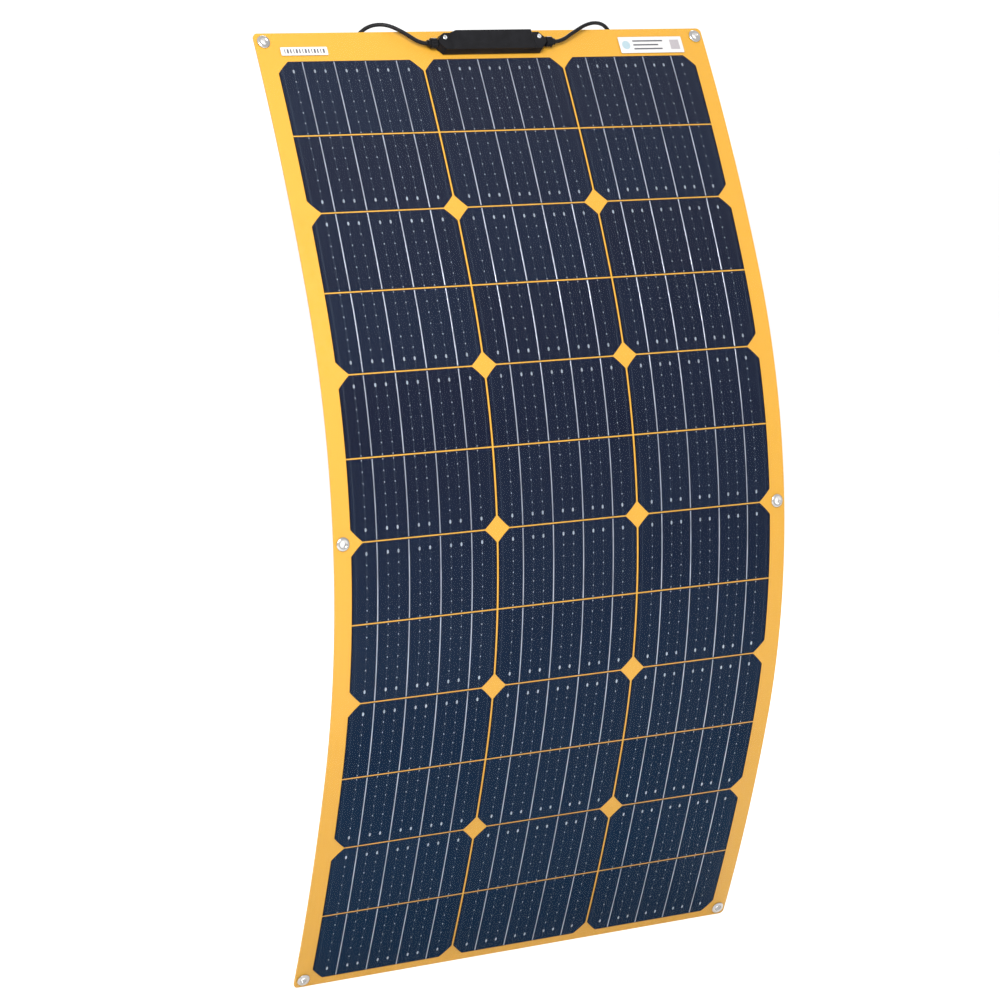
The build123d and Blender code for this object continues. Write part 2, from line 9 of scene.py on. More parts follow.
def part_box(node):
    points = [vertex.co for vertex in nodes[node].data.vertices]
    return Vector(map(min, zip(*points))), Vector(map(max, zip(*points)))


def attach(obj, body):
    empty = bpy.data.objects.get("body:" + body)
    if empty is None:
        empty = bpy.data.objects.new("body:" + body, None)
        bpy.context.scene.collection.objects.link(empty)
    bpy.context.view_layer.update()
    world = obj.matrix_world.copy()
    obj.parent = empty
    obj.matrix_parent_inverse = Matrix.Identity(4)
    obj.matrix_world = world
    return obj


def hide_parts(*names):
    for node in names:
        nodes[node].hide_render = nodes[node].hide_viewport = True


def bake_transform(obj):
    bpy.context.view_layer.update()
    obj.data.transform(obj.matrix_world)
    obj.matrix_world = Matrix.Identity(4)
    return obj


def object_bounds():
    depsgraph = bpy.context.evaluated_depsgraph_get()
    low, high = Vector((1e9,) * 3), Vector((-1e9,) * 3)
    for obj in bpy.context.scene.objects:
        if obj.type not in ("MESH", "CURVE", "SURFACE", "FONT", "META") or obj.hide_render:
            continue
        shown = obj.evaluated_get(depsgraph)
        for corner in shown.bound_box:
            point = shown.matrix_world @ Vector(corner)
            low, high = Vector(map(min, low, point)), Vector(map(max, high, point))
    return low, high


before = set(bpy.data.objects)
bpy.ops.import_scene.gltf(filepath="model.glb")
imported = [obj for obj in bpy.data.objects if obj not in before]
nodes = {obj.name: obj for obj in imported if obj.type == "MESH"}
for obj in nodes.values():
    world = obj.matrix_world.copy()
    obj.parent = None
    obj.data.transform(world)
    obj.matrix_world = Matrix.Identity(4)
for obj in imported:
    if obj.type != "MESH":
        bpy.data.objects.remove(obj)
cad_low, cad_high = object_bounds()

# Metres.  A place on the sheet is x, a distance along the bowed sheet above its middle, and a
# height in front of the laminate's mid-plane, as in the CAD source.

# Sheet
CELL_SIDE = 0.15675
WAFER_RADIUS = 0.1025
COLUMNS = 3
ROWS = 6
COLUMN_PITCH = 0.15875
ROW_PITCH = 0.1595
HALF_CUT_GAP = 0.0014
SHEET_TOP = 0.509025
SHEET_BOTTOM = -0.486325
SHEET_WIDTH = 0.51005
CORNER_RADIUS = 0.005
CORNER_STEPS = 8
MIDDLE_RADIUS = 0.730
END_RADIUS = 1.900
ARC_CHANGE = 1.5 * ROW_PITCH
STEP_ALONG = 0.008
STEP_ACROSS = 0.035
STRIPS = ("bottom", "lower_2", "lower_1", "middle", "upper_1", "upper_2", "top")

# Heights of the layers
BACK_FACE = -0.00125
BOND_LINE = 0.00025
BOARD_FACE = 0.00028
FILM_BACK = 0.00030
CELL_FACE = 0.00050
RIBBON_FACE = 0.00065
FRONT_FACE = 0.00125

# Cell wires and pads
BUSBARS_PER_CELL = 12
BUSBAR_PITCH = 0.034 / 3
RIBBON_EVERY = 3
RIBBON_WIDTH = 0.0011
RIBBON_SHOULDER = 0.00008
RIBBON_END = 0.0008
RIBBON_STEP = 0.01
CORNER_STEP = 0.0021
PADS_PER_HALF = 7
PAD_PITCH = 0.0110
FIRST_PAD = 0.0108
PAD_HEIGHT = 0.00005
LARGE_PAD = (0.0020, 0.0042)
SMALL_PAD = (0.0009, 0.0017)

# Eyelets
EYELET_INSET = 0.0095
EYELET_CUT_RADIUS = 0.00405
EYELET_CUT_DEPTH = 0.02
EYELET_CUT_SIDES = 48

# Leads
CABLE_DIAMETER = 0.004
COIL_TURNS = 4
COIL_PITCH = 0.0042
COIL_RADIUS = 0.026
POINTS_PER_TURN = 16

# Labels
SERIAL_LABEL_X = -0.205
SERIAL_LABEL_ALONG = SHEET_TOP - 0.0205
RATING_LABEL_X = 0.1895
RATING_LABEL_ALONG = SHEET_TOP - 0.0190
PRINT_BACK = 0.00140
PRINT_FACE = 0.00152
SERIAL_BARS = 14
SERIAL_BARS_REACH = 0.0208
SERIAL_BAR_PITCH = 0.0032
SERIAL_BAR_WIDTH = 0.0009
SERIAL_BAR_GROWTH = 0.0005
SERIAL_BAR_HEIGHT = 0.0045
RATING_LINES_REACH = 0.0215
RATING_LINE_PITCH = 0.0045
RATING_LINE_HEIGHT = 0.0016
RATING_PATCH_PLACE = 0.0285
RATING_PATCH_SIZE = 0.011
RATING_DISC_PLACE = 0.0300
RATING_DISC_RADIUS = 0.0048
DISC_STEPS = 24

# Stage
EDGE_ROUNDING = 0.0004
FLOOR_GAP = 0.0005
FLOOR_REACH = 60


# Shape of the bow


def lean(along):
    """Angle by which the sheet leans back at a distance along it."""
    inner = min(abs(along), ARC_CHANGE)
    angle = inner / MIDDLE_RADIUS + (abs(along) - inner) / END_RADIUS
    return angle if along >= 0 else -angle


def place(x, along, height):
    """Where a place on the sheet is in the row frame."""
    inner = min(abs(along), ARC_CHANGE) / MIDDLE_RADIUS
    whole = abs(lean(along))
    back = MIDDLE_RADIUS * (1 - cos(inner)) + END_RADIUS * (cos(inner) - cos(whole))
    up = MIDDLE_RADIUS * sin(inner) + END_RADIUS * (sin(whole) - sin(inner))
    side = 1 if along >= 0 else -1
    return Vector((x, back - height * cos(whole), side * (up + height * sin(whole))))


# Camera


def make_camera():
    """A long lens from the left and slightly above, with its small roll."""
    data = bpy.data.cameras.new("camera")
    data.lens = 107.5
    data.sensor_width = 36
    camera = bpy.data.objects.new("camera", data)
    bpy.context.scene.collection.objects.link(camera)
    aim = Vector((0.4697, 0.8742, -0.1236)).to_track_quat("-Z", "Y")
    roll = Matrix.Rotation(radians(-1.67), 4, "Z").to_quaternion()
    camera.rotation_mode = "QUATERNION"
    camera.rotation_quaternion = aim @ roll
    camera.location = (-1.4372, -2.5349, 0.3862)
    bpy.context.scene.camera = camera


# Material nodes


def add_node(tree, kind, inputs=None, **settings):
    """A node with its settings, and with each input set to a value or linked to a socket."""
    made = tree.nodes.new(kind)
    for name, value in settings.items():
        setattr(made, name, value)
    for key, value in (inputs or {}).items():
        if isinstance(value, bpy.types.NodeSocket):
            tree.links.new(value, made.inputs[key])
        else:
            made.inputs[key].default_value = value
    return made


def mix_colour(tree, share, first, second):
    """The colour that is first where share is 0 and second where it is 1."""
    made = tree.nodes.new("ShaderNodeMix")
    made.data_type = "RGBA"
    for index, value in ((0, share), (6, first), (7, second)):
        if isinstance(value, bpy.types.NodeSocket):
            tree.links.new(value, made.inputs[index])
        else:
            made.inputs[index].default_value = value if index == 0 else (*value, 1)
    return made.outputs[2]


def calculate(tree, operation, first, second=0.0, third=0.0):
    """The result of a Math node."""
    inputs = {0: first, 1: second, 2: third}
    return add_node(tree, "ShaderNodeMath", inputs, operation=operation).outputs[0]


def spread(tree, value, low, high, to_low=0.0, to_high=1.0):
    """value moved from one range to another, and kept inside it."""
    inputs = {"Value": value, "From Min": low, "From Max": high, "To Min": to_low, "To Max": to_high}
    return add_node(tree, "ShaderNodeMapRange", inputs).outputs[0]


def noise(tree, vector, scale, detail=2.0, roughness=0.5):
    """Noise of that many lumps a metre."""
    inputs = {"Vector": vector, "Scale": scale, "Detail": detail, "Roughness": roughness}
    return add_node(tree, "ShaderNodeTexNoise", inputs).outputs["Fac"]


def new_material(name, **values):
    """A material with one Principled shader, whose constants go on its own sockets."""
    material = bpy.data.materials.new(name)
    material.use_nodes = True
    tree = material.node_tree
    shader = tree.nodes["Principled BSDF"]
    for key, value in values.items():
        shader.inputs[key.replace("_", " ")].default_value = value
    return material, tree, shader


def frame_place(tree):
    """The point's place in the row frame, in metres."""
    return tree.nodes.new("ShaderNodeTexCoord").outputs["Object"]


def sheet_place(tree, name="on_sheet"):
    """What the mesh says about a point: its place on the sheet, or its place in its cell."""
    return add_node(tree, "ShaderNodeAttribute", attribute_name=name).outputs["Vector"]


def set_bump(tree, shader, height, strength, distance):
    """Gives a shader its small relief."""
    inputs = {"Height": height, "Strength": strength, "Distance": distance}
    bump = add_node(tree, "ShaderNodeBump", inputs)
    tree.links.new(bump.outputs[0], shader.inputs["Normal"])


def yellow_laminate():
    """Glass-fibre laminate with a yellow face: faint mottling, a fine weave and rubbed patches."""
    material, tree, shader = new_material("yellow_laminate")
    where = sheet_place(tree)
    large = noise(tree, where, 7, 3)
    fine = noise(tree, where, 160, 3)
    colour = mix_colour(tree, spread(tree, large, 0.3, 0.7), (0.37, 0.184, 0.008), (0.40, 0.203, 0.012))
    colour = mix_colour(tree, spread(tree, fine, 0.35, 0.75, 0, 0.25), colour, (0.43, 0.235, 0.036))
    tree.links.new(colour, shader.inputs["Base Color"])
    tree.links.new(spread(tree, fine, 0.3, 0.7, 0.42, 0.6), shader.inputs["Roughness"])
    parts = add_node(tree, "ShaderNodeSeparateXYZ", {0: where}).outputs
    threads = 2 * pi / 0.0011
    warp = calculate(tree, "SINE", calculate(tree, "MULTIPLY", parts["X"], threads))
    weft = calculate(tree, "SINE", calculate(tree, "MULTIPLY", parts["Y"], threads))
    weave = calculate(tree, "MULTIPLY", warp, weft)
    relief = calculate(tree, "MULTIPLY_ADD", weave, 0.4, fine)
    set_bump(tree, shader, relief, 0.25, 0.00005)
    return material


def silicon_cell():
    """Dark blue silicon, greyer up the sheet by a painted reflection, with fingers, thin busbars and dark
    side edges.
    """
    material, tree, shader = new_material("silicon_cell", Specular_IOR_Level=0.03)
    where = sheet_place(tree)
    inside = add_node(tree, "ShaderNodeSeparateXYZ", {0: sheet_place(tree, "in_cell")}).outputs
    cloud = noise(tree, where, 16, 3)
    tone = calculate(tree, "MULTIPLY_ADD", inside["Z"], 0.5, calculate(tree, "MULTIPLY", cloud, 0.5))
    # Painted reflection: the lower cells are bluer and the upper ones greyer, as if they mirrored the light
    # from above.
    along = add_node(tree, "ShaderNodeSeparateXYZ", {0: where}).outputs["Y"]
    painted_reflection_up_sheet = spread(tree, along, 0.1, 0.5)
    upper = mix_colour(tree, painted_reflection_up_sheet, (0.0034, 0.0050, 0.0130), (0.0075, 0.0090, 0.0170))
    colour = mix_colour(tree, spread(tree, along, -0.35, 0.05), (0.0002, 0.0080, 0.0240), upper)
    paler = mix_colour(tree, 0.3, colour, (0.006, 0.012, 0.026))
    colour = mix_colour(tree, spread(tree, tone, 0.2, 0.8), colour, paler)
    across = calculate(tree, "DIVIDE", inside["X"], BUSBAR_PITCH)
    off_line = calculate(tree, "ABSOLUTE", calculate(tree, "SUBTRACT", calculate(tree, "FRACT", across), 0.5))
    line = spread(tree, off_line, 0.010, 0.050, 1, 0)
    finger = calculate(tree, "FRACT", calculate(tree, "DIVIDE", inside["Y"], 0.0014))
    off_finger = calculate(tree, "ABSOLUTE", calculate(tree, "SUBTRACT", finger, 0.5))
    fingers = spread(tree, off_finger, 0.05, 0.25, 0.025, 0)
    silver = calculate(tree, "MAXIMUM", calculate(tree, "MULTIPLY", line, 0.2), fingers)
    colour = mix_colour(tree, silver, colour, (0.075, 0.095, 0.13))
    from_side = calculate(tree, "SUBTRACT", CELL_SIDE / 2, calculate(tree, "ABSOLUTE", inside["X"]))
    rim = spread(tree, from_side, 0.0006, 0.0016, 0.8, 0)
    colour = mix_colour(tree, rim, colour, (0.002, 0.002, 0.004))
    tree.links.new(colour, shader.inputs["Base Color"])
    grain = noise(tree, where, 900, 2)
    tree.links.new(spread(tree, grain, 0.3, 0.7, 0.26, 0.4), shader.inputs["Roughness"])
    set_bump(tree, shader, grain, 0.1, 0.00002)
    return material


def metal(name, colour, roughness, scale, stretch=(1, 1, 1), place_name=None):
    """Bare metal: uneven polish, small scratches along one way and a little tarnish."""
    material, tree, shader = new_material(name, Metallic=1.0)
    where = sheet_place(tree, place_name) if place_name else frame_place(tree)
    pulled = add_node(tree, "ShaderNodeMapping", {"Vector": where, "Scale": stretch}).outputs[0]
    marks = noise(tree, pulled, scale, 4, 0.6)
    cloud = noise(tree, where, scale / 12, 2)
    dull = tuple(part * 0.62 for part in colour)
    tarnished = mix_colour(tree, spread(tree, cloud, 0.35, 0.75), colour, dull)
    tree.links.new(tarnished, shader.inputs["Base Color"])
    tree.links.new(
        spread(tree, marks, 0.3, 0.7, roughness * 0.75, roughness * 1.35), shader.inputs["Roughness"]
    )
    set_bump(tree, shader, marks, 0.3, 0.00003)
    return material


def clear_film():
    """The clear front film: nearly all see-through, with a faintly embossed glossy face."""
    material = bpy.data.materials.new("clear_film")
    material.use_nodes = True
    tree = material.node_tree
    tree.nodes.remove(tree.nodes["Principled BSDF"])
    where = sheet_place(tree)
    emboss = noise(tree, where, 1300, 2)
    waves = noise(tree, where, 22, 2)
    relief = calculate(tree, "MULTIPLY_ADD", waves, 6.0, calculate(tree, "MULTIPLY", emboss, 0.25))
    bump = add_node(tree, "ShaderNodeBump", {"Height": relief, "Strength": 0.25, "Distance": 0.0001})
    gloss = add_node(
        tree,
        "ShaderNodeBsdfGlossy",
        {
            "Color": (0.95, 0.97, 1.0, 1),
            "Roughness": spread(tree, emboss, 0.3, 0.7, 0.38, 0.52),
            "Normal": bump.outputs[0],
        },
    )
    clear = add_node(tree, "ShaderNodeBsdfTransparent", {"Color": (0.985, 0.985, 0.98, 1)})
    facing = add_node(tree, "ShaderNodeNewGeometry").outputs["Backfacing"]
    front = calculate(tree, "SUBTRACT", 1.0, facing)
    share = calculate(tree, "MULTIPLY", add_node(tree, "ShaderNodeFresnel", {"IOR": 1.11}).outputs[0], front)
    both = add_node(tree, "ShaderNodeMixShader", {0: share, 1: clear.outputs[0], 2: gloss.outputs[0]})
    output = tree.nodes["Material Output"]
    tree.links.new(both.outputs[0], output.inputs["Surface"])
    return material


def moulded(name, colour, roughness, grain_scale, grain_depth):
    """Moulded plastic or rubber: a fine grain, faint flow marks and scattered pale scuffs."""
    material, tree, shader = new_material(name, Specular_IOR_Level=0.11)
    where = frame_place(tree)
    grain = noise(tree, where, grain_scale, 3, 0.6)
    flow = noise(tree, where, grain_scale / 25, 2)
    light = tuple(part * 1.8 for part in colour)
    base = mix_colour(tree, spread(tree, flow, 0.35, 0.75), colour, light)
    scuffs = spread(tree, noise(tree, where, grain_scale / 8, 4, 0.7), 0.62, 0.75, 0, 0.3)
    base = mix_colour(tree, scuffs, base, tuple(part * 3 + 0.01 for part in colour))
    tree.links.new(base, shader.inputs["Base Color"])
    tree.links.new(
        spread(tree, grain, 0.3, 0.7, roughness * 0.8, roughness * 1.2), shader.inputs["Roughness"]
    )
    set_bump(tree, shader, grain, 0.4, grain_depth)
    return material


def printed_paper(name, colour, roughness=0.45):
    """Coated label stock or ink on it, with slight mottling."""
    material, tree, shader = new_material(name)
    where = frame_place(tree)
    fibre = noise(tree, where, 700, 3)
    dark = tuple(part * 0.9 for part in colour)
    mottled = mix_colour(tree, spread(tree, fibre, 0.35, 0.7), colour, dark)
    tree.links.new(mottled, shader.inputs["Base Color"])
    tree.links.new(
        spread(tree, fibre, 0.3, 0.7, roughness, roughness + 0.15), shader.inputs["Roughness"]
    )
    set_bump(tree, shader, fibre, 0.15, 0.00002)
    return material


MATERIALS = {
    "yellow": yellow_laminate(),
    "cell": silicon_cell(),
    "ribbon": metal("tinned_ribbon", (0.33, 0.36, 0.43), 0.38, 500, (1, 0.15, 1), "on_sheet"),
    "pad": metal("silver_pad", (0.34, 0.38, 0.44), 0.45, 1500, (1, 1, 1), "on_sheet"),
    "film": clear_film(),
    "eyelet": metal("eyelet_steel", (0.46, 0.45, 0.44), 0.2, 500),
    "screw": metal("screw_steel", (0.70, 0.71, 0.72), 0.26, 900),
    "brass": metal("terminal_brass", (0.78, 0.57, 0.25), 0.35, 700),
    "copper": metal("copper_core", (0.83, 0.42, 0.26), 0.35, 1500, (0.2, 1, 1)),
    "bus": metal("bus_ribbon", (0.78, 0.79, 0.82), 0.32, 600),
    "box": moulded("black_plastic", (0.0034, 0.0034, 0.0042), 0.42, 2600, 0.00004),
    "connector": moulded("connector_plastic", (0.009, 0.009, 0.010), 0.5, 2200, 0.00004),
    "rubber": moulded("black_rubber", (0.010, 0.009, 0.009), 0.7, 3000, 0.00003),
    "jacket": moulded("cable_jacket", (0.0036, 0.0036, 0.0042), 0.5, 1800, 0.00003),
    "tie": moulded("tie_plastic", (0.014, 0.014, 0.016), 0.4, 1500, 0.00002),
    "foam": moulded("adhesive_foam", (0.03, 0.03, 0.032), 0.85, 2500, 0.00008),
    "epoxy": moulded("diode_epoxy", (0.008, 0.008, 0.008), 0.38, 2500, 0.00002),
    "paper": printed_paper("label_paper", (0.40, 0.39, 0.385)),
    "dark_ink": printed_paper("dark_ink", (0.05, 0.05, 0.06)),
    "grey_ink": printed_paper("grey_ink", (0.24, 0.22, 0.23)),
    "blue_ink": printed_paper("blue_ink", (0.22, 0.29, 0.32)),
}


# Mesh pieces


def make_piece(name, points, faces, material):
    """A closed mesh piece, smooth except at its sharp edges."""
    mesh = bpy.data.meshes.new(name)
    mesh.from_pydata([tuple(point) for point in points], [], faces)
    shape = bmesh.new()
    shape.from_mesh(mesh)
    bmesh.ops.recalc_face_normals(shape, faces=shape.faces)
    shape.to_mesh(mesh)
    shape.free()
    mesh.polygons.foreach_set("use_smooth", [True] * len(mesh.polygons))
    mesh.set_sharp_from_angle(angle=radians(32))
    mesh.materials.append(MATERIALS[material])
    piece = bpy.data.objects.new(name, mesh)
    bpy.context.scene.collection.objects.link(piece)
    return piece


def write_attribute(piece, name, values):
    """Keeps three numbers at each point of a piece, for its material."""
    attribute = piece.data.attributes.new(name, "FLOAT_VECTOR", "POINT")
    attribute.data.foreach_set("vector", np.array(values, np.float32).ravel())


class SheetMesh:
    """Gathers solids that lie on the bowed sheet into one piece."""

    def __init__(self):
        self.spots = []
        self.cells = []
        self.faces = []

    def slab(self, rows, low, high, cell=None):
        """A solid between two heights, over rows of (along, [x, ...]) of equal length."""
        first = len(self.spots)
        width = len(rows[0][1])
        for height in (low, high):
            for along, across in rows:
                for x in across:
                    self.spots.append((x, along, height))
                    if cell:
                        self.cells.append((x - cell[0], along - cell[1], cell[2]))
        sheet = len(rows) * width

        def spot(layer, row, column):
            return first + layer * sheet + row * width + column

        for row in range(len(rows) - 1):
            for column in range(width - 1):
                for layer in (0, 1):
                    self.faces.append((
                        spot(layer, row, column),
                        spot(layer, row, column + 1),
                        spot(layer, row + 1, column + 1),
                        spot(layer, row + 1, column),
                    ))
            for column in (0, width - 1):
                self.faces.append((
                    spot(0, row, column), spot(0, row + 1, column),
                    spot(1, row + 1, column), spot(1, row, column),
                ))
        for column in range(width - 1):
            for row in (0, len(rows) - 1):
                self.faces.append((
                    spot(0, row, column), spot(0, row, column + 1),
                    spot(1, row, column + 1), spot(1, row, column),
                ))

    def bar(self, x, alongs, section):
        """A bar up the sheet, with a section of (across, height) points."""
        first = len(self.spots)
        count = len(section)
        for along in alongs:
            for across, height in section:
                self.spots.append((x + across, along, height))
        for step in range(len(alongs) - 1):
            for corner in range(count):
                after = (corner + 1) % count
                self.faces.append((
                    first + step * count + corner,
                    first + step * count + after,
                    first + (step + 1) * count + after,
                    first + (step + 1) * count + corner,
                ))
        self.faces.append(tuple(first + corner for corner in range(count)))
        last = first + (len(alongs) - 1) * count
        self.faces.append(tuple(last + corner for corner in range(count)))

    def pad(self, x, along, width, length, low, high):
        """A small six-sided pad, longer up the sheet."""
        first = len(self.spots)
        for height in (low, high):
            for corner in range(6):
                turn = corner * pi / 3 + pi / 2
                across = cos(turn) * width / 2 / cos(pi / 6)
                up = sin(turn) * length / 2
                self.spots.append((x + across, along + up, height))
        for corner in range(6):
            after = (corner + 1) % 6
            self.faces.append((first + corner, first + after, first + 6 + after, first + 6 + corner))
        self.faces.append(tuple(range(first, first + 6)))
        self.faces.append(tuple(range(first + 6, first + 12)))

    def finish(self, name, material, slot):
        """The piece, bowed as the sheet is."""
        points = [place(*spot) for spot in self.spots]
        piece = make_piece(name, points, self.faces, material)
        write_attribute(piece, "on_sheet", self.spots)
        if self.cells:
            write_attribute(piece, "in_cell", self.cells)
        return piece


def even_steps(first, last, longest):
    """Points from first to last, at most that far apart."""
    count = max(1, int(np.ceil((last - first) / longest)))
    return [first + (last - first) * step / count for step in range(count + 1)]


def sheet_edge(along):
    """Half the sheet's width at a distance along it, with its rounded corners."""
    from_end = min(SHEET_TOP - along, along - SHEET_BOTTOM)
    straight = SHEET_WIDTH / 2 - CORNER_RADIUS
    if from_end >= CORNER_RADIUS:
        return straight + CORNER_RADIUS
    return straight + sqrt(max(0, CORNER_RADIUS**2 - (CORNER_RADIUS - from_end) ** 2))


def sheet_rows(first, last):
    """Rows of a full-width layer, closer together round the sheet's corners."""
    alongs = even_steps(first, last, STEP_ALONG)
    for end, side in ((SHEET_TOP, -1), (SHEET_BOTTOM, 1)):
        if end in (first, last):
            turns = [pi / 2 * step / CORNER_STEPS for step in range(1, CORNER_STEPS + 1)]
            corner = [end + side * CORNER_RADIUS * (1 - cos(turn)) for turn in turns]
            alongs = [along for along in alongs if abs(along - end) > CORNER_RADIUS + 0.001]
            alongs = sorted([*alongs, end, *corner])
    straight = SHEET_WIDTH / 2 - CORNER_RADIUS
    inner = even_steps(-straight, straight, STEP_ACROSS)
    rows = []
    for along in alongs:
        edge = max(sheet_edge(along), inner[-1] + 1e-6)
        rows.append((along, [-edge, *inner, edge]))
    return rows


def piece_range(piece):
    """The first and last distance along the sheet that a piece covers."""
    values = np.zeros(len(piece.data.vertices) * 3, np.float32)
    piece.data.attributes["on_sheet"].data.foreach_get("vector", values)
    alongs = values.reshape(-1, 3)[:, 1]
    return alongs.min(), alongs.max()


def make_drill(x, along):
    """A round cutter square to the sheet at that place."""
    shape = bmesh.new()
    turn = Matrix.Rotation(pi / 2 - lean(along), 4, "X")
    bmesh.ops.create_cone(
        shape,
        cap_ends=True,
        segments=EYELET_CUT_SIDES,
        radius1=EYELET_CUT_RADIUS,
        radius2=EYELET_CUT_RADIUS,
        depth=EYELET_CUT_DEPTH,
        matrix=Matrix.Translation(place(x, along, 0)) @ turn,
    )
    mesh = bpy.data.meshes.new("drill")
    shape.to_mesh(mesh)
    shape.free()
    drill = bpy.data.objects.new("drill", mesh)
    bpy.context.scene.collection.objects.link(drill)
    return drill


def cut_with(piece, drill):
    """Takes a cutter's shape out of a piece, and removes the cutter."""
    cut = piece.modifiers.new("cut", "BOOLEAN")
    cut.operation = "DIFFERENCE"
    cut.solver = "EXACT"
    cut.object = drill
    graph = bpy.context.evaluated_depsgraph_get()
    evaluated = piece.evaluated_get(graph)
    done = bpy.data.meshes.new_from_object(evaluated, preserve_all_data_layers=True, depsgraph=graph)
    piece.modifiers.remove(cut)
    piece.data = done
    bpy.data.objects.remove(drill)


def drill_eyelets(piece):
    """Cuts the eyelet holes that fall on a layer piece."""
    for along in (SHEET_TOP - EYELET_INSET, 0, SHEET_BOTTOM + EYELET_INSET):
        low, high = piece_range(piece)
        if not low - EYELET_CUT_RADIUS < along < high + EYELET_CUT_RADIUS:
            continue
        for side in (-1, 1):
            cut_with(piece, make_drill(side * (SHEET_WIDTH / 2 - EYELET_INSET), along))
    return piece


def flex_with(piece):
    """Bakes the transform of a piece of one row of cells into its mesh."""
    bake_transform(piece)


def cell_edge(from_cut):
    """Half a cell's width at a distance from its half-cut line: its corners follow the wafer's edge."""
    return min(CELL_SIDE / 2, sqrt(WAFER_RADIUS**2 - from_cut**2))


def half_cells_of(row):
    """(centre x, distance along of its cut line, direction) for each half cell of a row."""
    along = (row - ROWS / 2 + 0.5) * ROW_PITCH
    halves = []
    for column in range(COLUMNS):
        x = (column - (COLUMNS - 1) / 2) * COLUMN_PITCH
        for side in (-1, 1):
            halves.append((x, along, side))
    return halves


def make_layers(row):
    """Board and front film of one row of cells."""
    first = (row - ROWS / 2) * ROW_PITCH if row else SHEET_BOTTOM
    last = (row - ROWS / 2 + 1) * ROW_PITCH if row < ROWS - 1 else SHEET_TOP
    layers = (
        ("yellow_board", "yellow", "yellow_laminate", "back_sheet", BACK_FACE, BOARD_FACE),
        ("front_film", "film", "clear_film", "front_sheet", FILM_BACK, FRONT_FACE),
    )
    for name, material, slot, node, low, high in layers:
        mesh = SheetMesh()
        mesh.slab(sheet_rows(first, last), low, high)
        piece = drill_eyelets(mesh.finish(f"{name}_row_{row + 1}", material, slot))
        flex_with(piece)
        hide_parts(f"{node}_{STRIPS[row]}", f"{node}_{STRIPS[row + 1]}")


def ribbon_section():
    """Section of a flat wire, with bevelled upper edges."""
    half = RIBBON_WIDTH / 2
    shoulder = CELL_FACE + RIBBON_SHOULDER
    return [
        (-half, CELL_FACE),
        (half, CELL_FACE),
        (half, shoulder),
        (half * 0.8, RIBBON_FACE),
        (-half * 0.8, RIBBON_FACE),
        (-half, shoulder),
    ]


def make_cells(row):
    """Half cells, ribbons and contact pads of one row of cells."""
    cells = SheetMesh()
    ribbons = SheetMesh()
    pads = SheetMesh()
    half_cut = HALF_CUT_GAP / 2
    outer = half_cut + CELL_SIDE / 2
    straight = half_cut + sqrt(WAFER_RADIUS**2 - (CELL_SIDE / 2) ** 2)
    up_cell = even_steps(half_cut, straight, STEP_ALONG) + even_steps(straight, outer, CORNER_STEP)[1:]
    up_ribbon = even_steps(half_cut + RIBBON_END, outer - RIBBON_END, RIBBON_STEP)
    for number, (x, along, side) in enumerate(half_cells_of(row)):
        tone = (row * 5 + number * 7) % 11 / 10
        outline = []
        for step in up_cell:
            edge = cell_edge(step - half_cut)
            outline.append((along + side * step, [x - edge, x + edge]))
        cells.slab(outline, BOND_LINE, CELL_FACE, cell=(x, along, tone))
        for busbar in range(BUSBARS_PER_CELL):
            across = x + (busbar + 0.5 - BUSBARS_PER_CELL / 2) * BUSBAR_PITCH
            if busbar % RIBBON_EVERY == 1:
                ribbons.bar(across, [along + side * step for step in up_ribbon], ribbon_section())
                continue
            for pad in range(PADS_PER_HALF):
                up = outer - FIRST_PAD - pad * PAD_PITCH
                width, length = SMALL_PAD if pad else LARGE_PAD
                pads.pad(across, along + side * up, width, length, CELL_FACE, CELL_FACE + PAD_HEIGHT)
    for mesh, name, material, slot in (
        (cells, "half_cells", "cell", "silicon_cell"),
        (ribbons, "cell_ribbons", "ribbon", "tinned_ribbon"),
        (pads, "busbar_pads", "pad", "tinned_ribbon"),
    ):
        piece = mesh.finish(f"{name}_row_{row + 1}", material, slot)
        flex_with(piece)
        if name != "busbar_pads":
            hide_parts(f"{name}_{STRIPS[row]}", f"{name}_{STRIPS[row + 1]}")


# Leads


def make_lead(name, side, route):
    """A lead: out of its gland, over the top edge, into its coil and down to its connector."""
    points = [Vector(point) for point in route[:-1]]
    x, y, z = route[-1]
    turn_points = COIL_TURNS * POINTS_PER_TURN
    for step in range(turn_points + 1):
        angle = 2 * pi * step / POINTS_PER_TURN
        centre = x - side * COIL_RADIUS
        points.append(Vector((
            centre + side * COIL_RADIUS * cos(angle),
            y - COIL_PITCH * step / POINTS_PER_TURN,
            z - COIL_RADIUS * sin(angle),
        )))
    top_of_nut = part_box(f"{name}_connector_nut")[1].z
    end = points[-1].copy()
    end.z = top_of_nut
    points.append((points[-1] + end) / 2)
    points.append(end)
    data = bpy.data.curves.new(f"{name}_cable", "CURVE")
    data.dimensions = "3D"
    data.bevel_depth = CABLE_DIAMETER / 2
    data.bevel_resolution = 6
    data.resolution_u = 8
    data.use_fill_caps = True
    line = data.splines.new("NURBS")
    line.points.add(len(points) - 1)
    for spline_point, point in zip(line.points, points):
        spline_point.co = (*point, 1)
    line.order_u = 3
    line.use_endpoint_u = True
    data.materials.append(MATERIALS["jacket"])
    cable = bpy.data.objects.new(f"{name}_cable", data)
    bpy.context.scene.collection.objects.link(cable)
    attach(cable, "top")
    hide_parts(f"{name}_lead", f"{name}_lead_coil")


make_camera()

